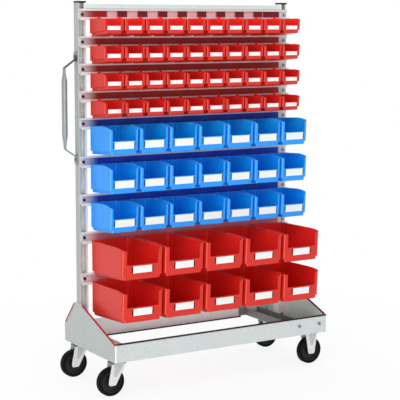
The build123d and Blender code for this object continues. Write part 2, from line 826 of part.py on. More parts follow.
def label_card(depth, post_top, front, lean, card_width, card_height, card_below):
    """Makes a card that lies on the outside of a bin's leaning front wall."""
    high = front - card_below
    low = high - card_height
    face_high = lean * (post_top - high) / post_top - depth
    face_low = lean * (post_top - low) / post_top - depth
    with BuildPart() as card:
        with BuildSketch(Plane.YZ):
            with BuildLine():
                Polyline(
                    (face_low, low),
                    (face_high, high),
                    (face_high - card_sheet, high),
                    (face_low - card_sheet, low),
                    close=True,
                )
            make_face()
        extrude(amount=card_width / 2, both=True)
    return card.part


large_bin = bin_shell(
    large_width, large_depth, large_height, large_front, large_lean,
    large_post, large_rise, large_mouth, large_fall)
medium_bin = bin_shell(
    medium_width, medium_depth, medium_height, medium_front, medium_lean,
    medium_post, medium_rise, medium_mouth, medium_fall)
small_bin = bin_shell(
    small_width, small_depth, small_height, small_front, small_lean,
    small_post, small_rise, small_mouth, small_fall)
large_card = label_card(
    large_depth, large_height - large_fall, large_front, large_lean,
    large_card_width, large_card_height, large_card_below)
medium_card = label_card(
    medium_depth, medium_height - medium_fall, medium_front, medium_lean,
    medium_card_width, medium_card_height, medium_card_below)
small_card = label_card(
    small_depth, small_height - small_fall, small_front, small_lean,
    small_card_width, small_card_height, small_card_below)

# Rows of bins hung side by side, as many as a rail has room for, each bin with a label card on its front
bin_rear = upright_face - rail_reach - lip_gap
large_drop = large_height - large_rise
medium_drop = medium_height - medium_rise
small_drop = small_height - small_rise
large_rows = [(lip, large_bin, large_card, large_width, large_gap, large_drop) for lip in large_lips]
medium_rows = [(lip, medium_bin, medium_card, medium_width, medium_gap, medium_drop) for lip in medium_lips]
small_rows = [(lip, small_bin, small_card, small_width, small_gap, small_drop) for lip in small_lips]
for number, row in enumerate(small_rows + medium_rows + large_rows, start=1):
    lip, shell, card, width, gap, drop = row
    pitch = width + gap
    count = int((2 * rail_half + gap) // pitch)
    places = [(pitch * (index - (count - 1) / 2), bin_rear, lip - drop) for index in range(count)]
    with BuildPart() as bin_row:
        with Locations(*places):
            add(shell)
    bin_row.part.label = f"row_{number}_bins"
    export_step(bin_row.part, f"parts/row_{number}_bins.step")
    with BuildPart() as card_row:
        with Locations(*places):
            add(card)
    card_row.part.label = f"row_{number}_cards"
    export_step(card_row.part, f"parts/row_{number}_cards.step")
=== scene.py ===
# %% [markdown]
# # A bin trolley
# The real trolley is a picking rack on wheels: a base of folded sheet metal, two slotted posts, nine rails and
# rows of open-front bins that hang on them. The construction model already holds every piece at its true size.
# This lesson keeps the shapes that are right and gives them their finish. It models the moulded and pressed
# pieces anew, because thin walls and rounded edges are what the eye looks for there.

# %% Load the construction model
import json
import math

import bmesh
import bpy
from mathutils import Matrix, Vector


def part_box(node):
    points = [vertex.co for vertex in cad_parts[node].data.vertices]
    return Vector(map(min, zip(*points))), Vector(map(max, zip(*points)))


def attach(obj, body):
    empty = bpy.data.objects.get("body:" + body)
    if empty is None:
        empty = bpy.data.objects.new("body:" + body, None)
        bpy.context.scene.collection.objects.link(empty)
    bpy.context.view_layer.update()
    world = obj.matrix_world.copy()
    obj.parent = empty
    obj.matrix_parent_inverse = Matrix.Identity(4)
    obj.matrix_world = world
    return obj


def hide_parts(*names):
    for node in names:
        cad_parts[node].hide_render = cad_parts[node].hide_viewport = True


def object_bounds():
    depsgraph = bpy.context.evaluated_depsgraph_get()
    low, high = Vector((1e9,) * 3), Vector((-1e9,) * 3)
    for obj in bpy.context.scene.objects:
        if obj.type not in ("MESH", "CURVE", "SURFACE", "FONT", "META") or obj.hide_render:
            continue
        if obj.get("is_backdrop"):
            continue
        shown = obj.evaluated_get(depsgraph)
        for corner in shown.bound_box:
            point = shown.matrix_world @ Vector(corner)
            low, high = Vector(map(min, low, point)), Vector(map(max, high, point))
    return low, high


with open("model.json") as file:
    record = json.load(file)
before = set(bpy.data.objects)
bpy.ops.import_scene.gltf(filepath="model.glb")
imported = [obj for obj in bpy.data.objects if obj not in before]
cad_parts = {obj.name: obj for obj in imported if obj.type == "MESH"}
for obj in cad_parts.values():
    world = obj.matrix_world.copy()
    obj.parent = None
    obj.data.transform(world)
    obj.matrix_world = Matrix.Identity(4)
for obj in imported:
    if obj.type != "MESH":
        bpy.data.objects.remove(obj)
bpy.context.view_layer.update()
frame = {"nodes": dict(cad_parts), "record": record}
nodes = frame["nodes"]
mm = 0.001
scene = bpy.context.scene
scene.view_settings.view_transform = "Standard"

# %% [markdown]
# ## The camera
# The picture was taken from the left of the bins' fronts, at the height of the top row, with a long lens: the
# rails hardly converge. A lens shift keeps the posts nearly upright, as a product photographer would, and it
# stays small so that views from other sides keep the trolley in the frame.

# %% Place the camera
eye = Vector((-3.0764, -5.0696, 1.613))
turn_right = math.radians(31.383)
tilt_down = math.radians(6.216)
long_lens = 116.77
lens_shift = -0.09
camera = bpy.data.objects.new("camera", bpy.data.cameras.new("camera"))
camera.data.lens = long_lens
camera.data.shift_y = lens_shift
camera.location = eye
camera.rotation_euler = (math.pi / 2 - tilt_down, 0, -turn_right)
scene.collection.objects.link(camera)
scene.camera = camera
print("camera distance:", round(eye.length, 2), "m")

# %% [markdown]
# ## Building materials from nodes
# Every finish below is a Principled shader fed by textures that are computed in the piece's own space, in
# metres. Two small helpers keep the recipes short: one adds a node and fills its sockets by name, the other
# starts a material. Working in object space means that no unwrapping is needed and the grain has a true scale.


# %% Start a material and add nodes
def add(tree, kind, inputs=(), **options):
    """Adds a node, sets its options, and fills or links its inputs by name."""
    node = tree.nodes.new("ShaderNode" + kind)
    for option, value in options.items():
        setattr(node, option, value)
    for socket, value in dict(inputs).items():
        if isinstance(value, bpy.types.NodeSocket):
            tree.links.new(value, node.inputs[socket])
        else:
            node.inputs[socket].default_value = value
    return node


def new_finish(name, **constants):
    """Starts a material and gives it with its tree and main shader, with constant sockets already set."""
    material = bpy.data.materials.new(name)
    material.use_nodes = True
    shader = material.node_tree.nodes["Principled BSDF"]
    for socket, value in constants.items():
        shader.inputs[socket.replace("_", " ")].default_value = value
    return material, material.node_tree, shader


print("material starter ready")


# %% Values that vary over a surface
def own_space(tree, stretch=(1, 1, 1)):
    """Gives the piece's own coordinates in metres, stretched along the axes."""
    coordinates = add(tree, "TexCoord").outputs["Object"]
    return add(tree, "Mapping", {"Vector": coordinates, "Scale": stretch}).outputs["Vector"]


def noise(tree, size, detail=3, stretch=(1, 1, 1)):
    """Gives a cloudy value from 0 to 1 whose blotches are about as large as size."""
    inputs = {"Vector": own_space(tree, stretch), "Scale": 1 / size, "Detail": detail}
    return add(tree, "TexNoise", inputs).outputs["Fac"]


def combine(tree, operation, first, second):
    """Combines two values by an operation of the Math node."""
    return add(tree, "Math", {0: first, 1: second}, operation=operation).outputs[0]


def average(tree, first, second):
    """Gives the mean of two values."""
    return combine(tree, "MULTIPLY", combine(tree, "ADD", first, second), 0.5)


print("surface values ready")


# %% From values to colour, gloss and relief
def between(tree, value, low, high):
    """Spreads a value from 0 to 1 over a range."""
    return add(tree, "MapRange", {"Value": value, "To Min": low, "To Max": high}).outputs["Result"]


def tones(tree, value, dark, pale):
    """Turns a value from 0 to 1 into a colour between two tones."""
    ramp = add(tree, "ValToRGB", {"Fac": value})
    ramp.color_ramp.elements[0].color = (*dark, 1)
    ramp.color_ramp.elements[1].color = (*pale, 1)
    return ramp.outputs["Color"]


def emboss(tree, shader, height, depth):
    """Raises the surface's look by a height map, depth metres from low to high."""
    bump = add(tree, "Bump", {"Height": height, "Distance": depth, "Strength": 1.0})
    tree.links.new(bump.outputs["Normal"], shader.inputs["Normal"])


print("colour, gloss and relief ready")

# %% [markdown]
# ## Tones that follow the place
# Many tones here are painted light and shade that follow the place: a painted highlight on a bend, a painted
# shade on a fork's crown, and on a rail a painted shade tinted by the bins in front of it. Painting such marks
# by hand would need unwrapping. The pieces of this model keep the trolley's own coordinates, so limits along the
# axes are mask enough, and several multiply.


# %% Tones by place
def in_mm(name):
    """Gives the two corners of a node's box in millimetres."""
    low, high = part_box(name)
    return low / mm, high / mm


def beyond(tree, axis, start, end):
    """Gives 0 before start and 1 after end along one of the piece's own axes, in millimetres."""
    place = add(tree, "SeparateXYZ", {"Vector": own_space(tree)}).outputs[axis]
    inputs = {"Value": place, "From Min": start * mm, "From Max": end * mm}
    return add(tree, "MapRange", inputs).outputs["Result"]


def within(tree, limits):
    """Gives 1 where every limit holds, each an axis with a start and an end."""
    share, *others = [beyond(tree, *limit) for limit in limits]
    for other in others:
        share = combine(tree, "MULTIPLY", share, other)
    return share


def shift_tone(material, share, tone):
    """Moves a finish towards another tone by a share from 0 to 1."""
    tree = material.node_tree
    base = tree.nodes["Principled BSDF"].inputs["Base Color"]
    inputs = {"Fac": share, "Color1": base.links[0].from_socket, "Color2": (*tone, 1)}
    tree.links.new(add(tree, "MixRGB", inputs).outputs["Color"], base)


def tint(material, tone, *limits):
    """Moves a finish towards another tone within limits."""
    shift_tone(material, within(material.node_tree, limits), tone)


print("base sits", round(in_mm("front_panel")[0].z), "mm above the floor")

# %% [markdown]
# ## Galvanised steel
# Hot-dip galvanising leaves flat zinc crystals, the spangle, each of which catches the light a little
# differently. A Voronoi texture gives each crystal its own random tone. That tone drives colour and roughness
# together, and a slow cloud on top stands for handling marks.

# %% A zinc-coated finish
zinc_rough = 0.5
crystal_gloss = 0.06
handling_size = 0.25
dimple_size = 0.004
metal_relief = 0.00002


def galvanised(name, dark, pale, metal=0.2, spangle=0.008):
    """Makes a zinc-coated finish with crystals of the given size."""
    material, tree, shader = new_finish(name, Metallic=metal)
    inputs = {"Vector": own_space(tree), "Scale": 1 / spangle}
    crystals = add(tree, "TexVoronoi", inputs).outputs["Color"]
    crystal = add(tree, "SeparateColor", {"Color": crystals}).outputs["Red"]
    tone = average(tree, crystal, noise(tree, handling_size, detail=4))
    rough = between(tree, tone, zinc_rough + crystal_gloss, zinc_rough - crystal_gloss)
    tree.links.new(tones(tree, tone, dark, pale), shader.inputs["Base Color"])
    tree.links.new(rough, shader.inputs["Roughness"])
    emboss(tree, shader, noise(tree, dimple_size, detail=2), metal_relief)
    return material


def back_of(name):
    """Gives the limit that takes in only the skin on a node's back."""
    back = in_mm(name)[1].y
    return ("Y", back - 0.8, back - 0.2)


finishes = {}
finish_of = {}
print("back skin of a post:", back_of("left_upright"))

# %% [markdown]
# ## The posts
# The posts are slotted channel. Their finish is painted far paler than zinc, as painted light that makes their
# fronts and the insides of their slots bright, while their outer sides and the left post's outer lip get a
# painted shade and their backs keep a plainer grey. One finish serves both posts: the limits find the outer
# sides, the lip and the backs by where these lie.

# %% Posts
post_low, post_high = in_mm("left_upright")
slot_middle = (post_low.x + post_high.x) / 2
# Painted light: the finish is far paler than zinc, so the fronts and the slots' insides look lit.
post_zinc = galvanised("galvanised_strut", (0.86, 0.88, 0.87), (0.93, 0.95, 0.94), spangle=0.006)
# Painted shade on both posts' outer sides.
for side in (-1, 1):
    outer_side = -side * post_low.x
    tint(post_zinc, (0.42, 0.45, 0.43), ("X", outer_side - 2 * side, outer_side - side))
# Painted shade on the left post's outer lip.
front_skin = ("Y", post_low.y + 3, post_low.y + 2.4)
tint(post_zinc, (0.46, 0.49, 0.47), front_skin, ("X", slot_middle + 2, slot_middle - 2))
# The backs keep a plainer zinc grey, without the painted light.
tint(post_zinc, (0.56, 0.60, 0.59), back_of("left_upright"))
finishes["galvanised_strut"] = post_zinc
print("left post's slot at", round(slot_middle), "mm")

# %% [markdown]
# ## The base and the crossbeam
# All of these are folded from galvanised sheet, yet each faces another way, and each finish paints in the light
# and shade that its facing brings: the end panels get a painted shade outside and the right one painted light
# inside, the bend at the front corner a painted dark line and a painted highlight, and the bearers painted light
# near the handle and painted shade at the far end. The rear panel and the crossbeam are painted paler than zinc,
# as painted light, and keep a plainer grey on their backs. A finish for each panel is simpler than one with
# every limit.

# %% Panels, bearers and crossbeam
plain_zinc = ((0.56, 0.60, 0.60), (0.66, 0.70, 0.70))
painted_shade_zinc = ((0.42, 0.46, 0.44), (0.52, 0.56, 0.54))
backward_tone = (0.58, 0.62, 0.62)

front_sheet = galvanised("front_sheet", *plain_zinc)
front_end = in_mm("front_panel")[0].x
# Painted highlight on the bend at the front panel's left end.
tint(front_sheet, (0.90, 0.91, 0.91), ("X", front_end + 8.5, front_end + 6.5))

# The end panels are painted in a shaded grey on the outside.
end_sheet = galvanised("end_sheet", *painted_shade_zinc)
end_front = in_mm("left_end_panel")[0].y
# Painted dark line of shade along the left end panel's front bend.
tint(end_sheet, (0.30, 0.32, 0.32), ("Y", end_front + 5, end_front + 3))

far_sheet = galvanised("far_sheet", *painted_shade_zinc)
far_outside = in_mm("right_end_panel")[1].x
# Painted light on the inside of the right end panel.
tint(far_sheet, (0.66, 0.84, 0.82), ("X", far_outside - 1.0, far_outside - 1.6))

# Painted light on the bearers near the handle, turning to painted shade from the middle to the far end.
bearer_sheet = galvanised("bearer_sheet", (0.74, 0.78, 0.77), (0.82, 0.86, 0.85), metal=0.1)
tint(bearer_sheet, (0.21, 0.24, 0.235), ("X", 0, 100))

# The rear panel and the crossbeam are painted paler than zinc as painted light; their backs keep a plainer grey.
rear_sheet = galvanised("rear_sheet", (0.84, 0.98, 0.96), (0.90, 0.99, 0.98), metal=0.1)
tint(rear_sheet, backward_tone, back_of("rear_panel"))

beam_sheet = galvanised("beam_sheet", (0.66, 0.78, 0.76), (0.72, 0.84, 0.82), metal=0.1)
tint(beam_sheet, backward_tone, back_of("top_crossbeam"))

finish_of.update({
    "front_panel": front_sheet, "left_end_panel": end_sheet, "right_end_panel": far_sheet,
    "castor_bearers": bearer_sheet, "rear_panel": rear_sheet, "top_crossbeam": beam_sheet,
})
print("sheet finishes for:", sorted(finish_of))

# %% [markdown]
# ## Rolled and drawn steel
# Rails are rolled, and the handle, bolts and axles are drawn: both leave fine lines along the piece. A noise
# that is stretched a long way along one axis gives such lines, in the tone, the gloss and the relief alike.

# %% A drawn finish
line_size = 0.003
line_stretch = 0.02
stain_size = 0.08
line_gloss = 0.08


def drawn_steel(name, dark, pale, metal, rough=0.4, along="Z", shine=0.5):
    """Makes a steel finish with fine lines along one axis, as rolling or drawing leaves them."""
    material, tree, shader = new_finish(name, Metallic=metal, Specular_IOR_Level=shine)
    stretch = tuple(line_stretch if axis == along else 1 for axis in "XYZ")
    lines = noise(tree, line_size, detail=4, stretch=stretch)
    tone = average(tree, lines, noise(tree, stain_size, detail=4))
    tree.links.new(tones(tree, tone, dark, pale), shader.inputs["Base Color"])
    tree.links.new(between(tree, tone, rough + line_gloss, rough - line_gloss), shader.inputs["Roughness"])
    emboss(tree, shader, lines, metal_relief)
    return material


new_zinc = ((0.70, 0.71, 0.71), (0.84, 0.85, 0.85))
finishes["zinc_steel"] = drawn_steel("zinc_steel", *new_zinc, metal=0.3)
print("slot finishes so far:", sorted(finishes))

# %% [markdown]
# ## The rails
# A rail's lip and hood are pale, but its back lies deep behind the bins, in their shade and in the light that
# they colour. That shade and that coloured light are painted into the finish: maroon behind the red ones and
# navy behind the blue ones, up to near the posts, pale pink on the top rail and a lighter red on the two lowest.
# The painted tone is a tint within the limits of that channel, so the rail's ends stay pale.

# %% Rails
rail_low, rail_high = in_mm("bin_rail_1")
rail_channel = (
    ("Y", rail_high.y - 4.5, rail_high.y - 2.5), ("Y", rail_high.y - 0.5, rail_high.y - 1.0),
    ("X", rail_low.x - 1, rail_low.x + 89), ("X", rail_high.x - 42, rail_high.x - 45),
)
rail_steel = ((0.66, 0.66, 0.66), (0.78, 0.78, 0.78))
# Painted shade and painted bounce light in each rail's channel, coloured by the bins in front.
rail_painted_bounce = {
    "top_row_rail": ((0.86, 0.50, 0.52), (1,)),
    "red_row_rail": ((0.36, 0.033, 0.031), (2, 3, 4)),
    "blue_row_rail": ((0.022, 0.065, 0.46), (5, 6, 7)),
    "low_row_rail": ((0.76, 0.20, 0.23), (8, 9)),
}
for name, (painted_bounce, rows) in rail_painted_bounce.items():
    rail = drawn_steel(name, *rail_steel, metal=0, rough=0.55, along="X", shine=0.2)
    tint(rail, painted_bounce, *rail_channel)
    finish_of.update({f"bin_rail_{row}": rail for row in rows})
    print(name, "for rows", rows)

# %% [markdown]
# The top rail looks out over its bins, and there the painted tone of its back is broken by dark red patches: one
# for each bin, and a whole one behind the bins at the ends, the left one redder. The fraction of a coordinate
# counted in bins repeats from bin to bin, so a single threshold on it draws all the patches.

# %% Patches on the top rail
top_rail = finish_of["bin_rail_1"]
top_tree = top_rail.node_tree
bin_pitch = 104
first_gap = in_mm("row_1_bins")[0].x - 4
last_gap = 412
patch_from, patch_to = 0.46, 0.54
patch_fade = 8
along_rail = add(top_tree, "SeparateXYZ", {"Vector": own_space(top_tree)}).outputs["X"]
from_end = combine(top_tree, "ADD", along_rail, -first_gap * mm)
in_bins = combine(top_tree, "DIVIDE", from_end, bin_pitch * mm)
in_bin = add(top_tree, "Math", {0: in_bins}, operation="FRACT").outputs[0]
threshold = {"Value": in_bin, "From Min": patch_from, "From Max": patch_to}
patches = add(top_tree, "MapRange", threshold).outputs["Result"]
for side in (-1, 1):
    end_bin = beyond(top_tree, "X", side * last_gap, side * (last_gap + patch_fade))
    patches = combine(top_tree, "MAXIMUM", patches, end_bin)
patches = combine(top_tree, "MULTIPLY", patches, within(top_tree, rail_channel))
shift_tone(top_rail, patches, (0.22, 0.014, 0.024))
tint(top_rail, (0.42, 0.013, 0.016), ("X", -last_gap, -last_gap - patch_fade), *rail_channel)
print("patches start", round(first_gap), "mm from the middle, one every", bin_pitch, "mm")

# %% [markdown]
# ## Bolts, castors and handle
# Small steel pieces get painted light and shade in their tone. The bolts in the rails get a painted shade where
# they sit deep, and a painted highlight on the front panel near the handle. The swivel forks' crowns get a
# painted shade, and so does the handle's upper leg. The castors' pressed ribs are painted a darker zinc than the
# forks, as painted shade.

# %% Bolts, castors and handle
bolt_steel = drawn_steel("bolt_steel", (0.16, 0.17, 0.17), (0.30, 0.31, 0.31), metal=0.8)
# Painted shade on the bolts that sit deep in the left post.
tint(bolt_steel, (0.050, 0.042, 0.045), ("Z", 400, 420), ("X", -400, -500), ("Y", 92, 88))
# Painted highlight on the bolt heads on the front panel near the handle.
tint(bolt_steel, (0.75, 0.76, 0.76), ("Y", -200, -210), ("X", 50, -50))
finish_of["hex_bolts"] = bolt_steel

crown_foot = 141.5
swivel_zinc = drawn_steel("swivel_zinc", *new_zinc, metal=0.3)
# Painted shade on the crown of each swivel fork.
tint(swivel_zinc, (0.10, 0.10, 0.10), ("Z", crown_foot, crown_foot + 2))
finish_of.update({"front_left_fork": swivel_zinc, "rear_left_fork": swivel_zinc})
# The ribs are painted a darker zinc, as painted shade.
rib_shade_zinc = drawn_steel("rib_shade_zinc", (0.46, 0.47, 0.48), (0.62, 0.63, 0.64), metal=0.3)

handle_steel = drawn_steel("handle_steel", (0.25, 0.28, 0.27), (0.36, 0.39, 0.38), metal=0.5)
# Painted shade on the handle's upper leg.
tint(handle_steel, (0.09, 0.10, 0.10), ("Z", 1408, 1422), ("Z", 1474, 1466))
finishes["handle_steel"] = handle_steel
print("nodes with a finish of their own:", len(finish_of))

# %% [markdown]
# ## Plastics, rubber and card
# Moulded bins are glossy on the flat and carry faint flow marks, so no two bins of a row look quite alike. Their
# inside is painted lighter, as painted light for the light that thin plastic lets through, their rims and front
# corners get a painted highlight, and the label slots a painted shade. The rubber of a tyre greys where dust
# sticks, and blank card is matt.

# %% A moulded finish
flow_size = 0.06
gloss_size = 0.02
gloss_spread = 0.08
grain_size = 0.0012
grain_relief = 0.00001


def moulded(name, dark, pale, rough, shine=0.35):
    """Makes a moulded plastic with flow marks, a fine grain and a soft variation in gloss."""
    material, tree, shader = new_finish(name, Specular_IOR_Level=shine)
    flow = noise(tree, flow_size, detail=4, stretch=(1, 1, 0.4))
    tree.links.new(tones(tree, flow, dark, pale), shader.inputs["Base Color"])
    gloss = noise(tree, gloss_size, detail=3)
    rough_range = between(tree, gloss, rough - gloss_spread, rough + gloss_spread)
    tree.links.new(rough_range, shader.inputs["Roughness"])
    emboss(tree, shader, noise(tree, grain_size, detail=2), grain_relief)
    return material


finishes["black_plastic"] = moulded(
    "black_plastic", (0.006, 0.007, 0.009), (0.015, 0.016, 0.019), rough=0.4, shine=0.22)
finishes["tyre_rubber"] = moulded(
    "tyre_rubber", (0.002, 0.002, 0.003), (0.006, 0.007, 0.009), rough=0.6, shine=0.09)
finishes["white_card"] = moulded("white_card", (0.79, 0.83, 0.82), (0.85, 0.89, 0.88), rough=0.75)
# Painted light and shade on the trim: near-black along the front, dark red at the right shoulder and lit crimson
# at the left shoulders.
trim_plastic = moulded("trim_plastic", (0.012, 0.003, 0.005), (0.024, 0.004, 0.007), rough=0.5)
tint(trim_plastic, (0.14, 0.006, 0.014), ("X", 548, 550))
tint(trim_plastic, (0.50, 0.010, 0.032), ("X", -548, -550))
finishes["trim_plastic"] = trim_plastic
print("slot finishes so far:", sorted(finishes))

# %% Skins of the bins
# The inside skins are painted lighter, as painted light coming through the thin plastic.
red_skins = {
    "outside": moulded("red_plastic", (0.62, 0.014, 0.005), (0.71, 0.021, 0.009), rough=0.34, shine=0.42),
    "inside": moulded("red_inside", (0.88, 0.020, 0.016), (0.94, 0.028, 0.022), rough=0.4),
    "edge": moulded("red_highlight", (0.84, 0.10, 0.07), (0.90, 0.14, 0.10), rough=0.3),
    "slot": moulded("red_slot_shade", (0.06, 0.003, 0.005), (0.09, 0.005, 0.008), rough=0.5),
}
blue_skins = {
    "outside": moulded("blue_plastic", (0.008, 0.28, 0.92), (0.015, 0.34, 0.98), rough=0.34, shine=0.42),
    "inside": moulded("blue_inside", (0.004, 0.37, 0.98), (0.008, 0.42, 0.99), rough=0.4),
    "edge": moulded("blue_highlight", (0.12, 0.50, 0.98), (0.18, 0.56, 0.99), rough=0.3),
    "slot": moulded("blue_slot_shade", (0.002, 0.03, 0.17), (0.004, 0.04, 0.22), rough=0.5),
}
finishes["red_plastic"] = red_skins["outside"]
finishes["blue_plastic"] = blue_skins["outside"]
print("skins of a bin:", sorted(red_skins))

# %% [markdown]
# ## Dressing the construction pieces
# Folded sheet, channel and bolts are already the right shape, but their edges are perfectly sharp, and no
# real edge is. A short stack of modifiers mends that without touching the mesh: weld the seams, dissolve the
# flat triangles, bevel what is left, and weight the normals so that flat faces stay flat.

# %% Dress every piece in its finish
slot_of = {part["node"]: part["material_slot"] for part in frame["record"]["subparts"]}


def wear(piece, finish):
    """Gives a piece its finish."""
    piece.data.materials.clear()
    piece.data.materials.append(finish)


for name, node in nodes.items():
    wear(node, finish_of[name] if name in finish_of else finishes[slot_of[name]])
print("dressed:", len(nodes), "nodes")

# %% Round the sharp edges
seam = 0.00001
flat_angle = math.radians(0.5)
sharp_angle = math.radians(35)
bevel_segments = 2


def round_edges(piece, name, width):
    """Bevels a piece's sharp edges."""
    bevel = piece.modifiers.new(name, "BEVEL")
    bevel.width = width
    bevel.segments = bevel_segments
    bevel.limit_method = "ANGLE"
    bevel.angle_limit = sharp_angle


def soften(piece, width):
    """Cleans a piece's triangles and rounds its sharp edges by a bevel of the given width."""
    weld = piece.modifiers.new("weld", "WELD")
    weld.merge_threshold = seam
    flatten = piece.modifiers.new("flatten", "DECIMATE")
    flatten.decimate_type = "DISSOLVE"
    flatten.angle_limit = flat_angle
    round_edges(piece, "bevel", width)
    piece.modifiers.new("normals", "WEIGHTED_NORMAL")


edges = {
    1.0: ["edge_trims"],
    0.8: [
        "left_upright", "right_upright", "top_crossbeam", "angle_brackets",
        "front_left_fork", "rear_left_fork", "front_right_fixed_fork", "rear_right_fixed_fork",
    ],
    0.6: ["left_end_panel", "right_end_panel", "front_panel", "rear_panel", "castor_bearers"],
    0.5: ["hex_bolts", "hex_nuts", "channel_nuts"],
}
edges[0.6] += [f"bin_rail_{row}" for row in range(1, 10)]
for width, names in edges.items():
    for name in names:
        soften(nodes[name], width * mm)
    print("rounded by", width, "mm:", len(names), "nodes")

# %% [markdown]
# ## The bins
# A hanging bin is one thin moulded wall: a narrow foot that slopes down to the back, a step, upright sides whose
# rim rises to a low crest and falls in a curve to the posts, a front cut low for the hand, two blind slots that
# hold the label, and a small hook at the back that drops over the rail. The wall is drawn once as a sheet of
# columns, each a short list of heights, and only for the right half. Mirror completes it, Solidify gives the
# wall its thickness, Bevel rounds the rims and Array hangs the whole row. A solid cut by booleans would work
# too, but leaves untidy faces.
#
# All sizes are in millimetres. The rim is at height at the back, rise above the hook's seat, and hump higher at
# its crest. From there it falls by fall over the mouth's length. The front leans back by lean, and the foot
# hangs dip below the bin's place at the front and sag at the back.

# %% Sizes of the bins
small_bin = {
    "width": 100, "gap": 4, "depth": 146.5, "height": 68, "rise": -6, "hump": 2, "mouth": 42, "fall": 7,
    "front": 38, "lean": 4, "post": 12, "corner": 6, "dip": -2, "sag": 11,
    "card": 63, "card_high": 36, "card_low": 19, "slot": 4,
}
medium_bin = {
    "width": 143, "gap": 7, "depth": 202.5, "height": 115, "rise": 1, "hump": 8, "mouth": 75, "fall": 13,
    "front": 62, "lean": 6, "post": 14, "corner": 10, "dip": -3, "sag": 8,
    "card": 95, "card_high": 59, "card_low": 27, "slot": 7,
}
large_bin = {
    "width": 200, "gap": 10, "depth": 308, "height": 130, "rise": 1, "hump": 4, "mouth": 70, "fall": 10,
    "front": 61, "lean": 8, "post": 22, "corner": 13, "dip": 4, "sag": 21,
    "card": 92, "card_high": 56, "card_low": 25, "slot": 8,
}
bin_wall = 2.5
print("bin depths:", small_bin["depth"], medium_bin["depth"], large_bin["depth"], "mm")

# %% Outlines that the bin's wall follows
opening_round = 5


def arc(centre, radius, start, end, steps):
    """Gives points along an arc in plan, between two angles in degrees."""
    angles = [math.radians(start + (end - start) * step / steps) for step in range(steps + 1)]
    return [(centre[0] + radius * math.cos(angle), centre[1] + radius * math.sin(angle)) for angle in angles]


def rim_height(size, y):
    """The side rim's height: rising to a crest behind the mouth, then falling in a curve to the front."""
    crest = size["mouth"] - size["depth"]
    if y > crest:
        return size["height"] + size["hump"] * y / crest
    into_mouth = min(1, (crest - y) / size["mouth"])
    return size["height"] + size["hump"] - size["fall"] * (1 - math.sqrt(1 - into_mouth**2))


def sill_height(size, x):
    """The front wall's height across the opening, with rounded corners up into the posts."""
    into_corner = max(0, x - size["width"] / 2 + size["post"] + opening_round)
    return size["front"] + opening_round - math.sqrt(max(0, opening_round**2 - into_corner**2))


print("large rim at the front:", rim_height(large_bin, -large_bin["depth"]), "mm")

# %% One column of the wall
foot_step = 15
foot_inset = 9
foot_round = 2
ledge_fall = 2
slot_margin = 1.5
rim_band = 6
rim_out = 1
rear_recess = 3


def wall_column(size, x, y, leans, tops):
    """One upright line of the wall: foot, step, the label slots' heights, then the given tops."""
    half = size["width"] / 2
    sag = size["dip"] + (size["sag"] - size["dip"]) * (1 + y / size["depth"])
    post_top = rim_height(size, -size["depth"])
    slope = size["lean"] / post_top if leans else 0
    narrow = (half - foot_inset) / half
    inner = narrow * (1 - foot_round / (half - foot_inset))
    middle = -size["depth"] / 2
    foot_y = middle + (y + slope * post_top - middle) * (1 - 2 * foot_round / size["depth"])
    points = [(x * inner, foot_y, -sag)]
    lower = [(foot_round, x * narrow), (foot_step - ledge_fall, x * narrow), (foot_step, x)]
    for level, place in lower:
        points.append((place, y + slope * (post_top - level), level - sag))
    upper = [(size["card_low"] + slot_margin, x), (size["card_high"] - slot_margin, x)]
    for level, place in upper + tops:
        points.append((place, y + slope * (post_top - level), level))
    return points


def rim_tops(size, x, y):
    """The tops of a column that reaches the rim: the opening's shoulder, then the band along the rim."""
    rim = rim_height(size, y)
    shoulder = size["front"] + opening_round
    out = x + rim_out if x > size["width"] / 2 - size["corner"] - rear_recess else x
    return [(shoulder, x), (rim - rim_band, x), (rim - rim_band + rim_out, out), (rim, out)]


print("points in a column:", len(wall_column(large_bin, 0, 0, False, rim_tops(large_bin, 0, 0))))

# %% The right half of a bin's wall
rear_recess_length = 18
rear_corner_steps = 4
corner_steps = 5
mouth_shares = (1, 0.7, 0.5, 0.33)


def bin_columns(size):
    """Lists the wall's columns from the middle of the back to the middle of the front, and where the painted
    highlight starts.
    """
    half = size["width"] / 2 - rim_out
    rear_half = half - rear_recess
    depth = size["depth"]
    corner = size["corner"]
    opening = size["width"] / 2 - size["post"]

    outline = [(0, 0), ((rear_half - corner) / 2, 0)]
    outline += arc((rear_half - corner, -corner), corner, 90, 0, rear_corner_steps)
    outline += [(rear_half, -rear_recess_length), (half, -rear_recess_length - rear_recess)]
    outline += [(half, -depth / 2)]
    outline += [(half, size["mouth"] * share - depth) for share in mouth_shares]
    columns = [wall_column(size, x, y, False, rim_tops(size, x, y)) for x, y in outline]
    highlight_column = len(columns) + corner_steps // 2

    front = arc((half - corner, corner - depth), corner, 0, -90, corner_steps) + [(opening, -depth)]
    columns += [wall_column(size, x, y, True, rim_tops(size, x, y)) for x, y in front]
    sills = [x for x, _ in arc((opening - opening_round, 0), opening_round, 30, 90, 2)]
    sills += [size["card"] / 2, size["card"] / 2 + size["slot"], 0]
    for x in sorted({round(sill, 3) for sill in sills}, reverse=True):
        columns.append(wall_column(size, x, -depth, True, [(sill_height(size, x), x)]))
    return columns, highlight_column


print("columns in a large bin's half:", len(bin_columns(large_bin)[0]))

# %% Plates behind the label slots, and the hook
slot_lap = 2
hook_half = 7
hook_in = 5.5
hook_drop = 8
hook_sunk = 0.3


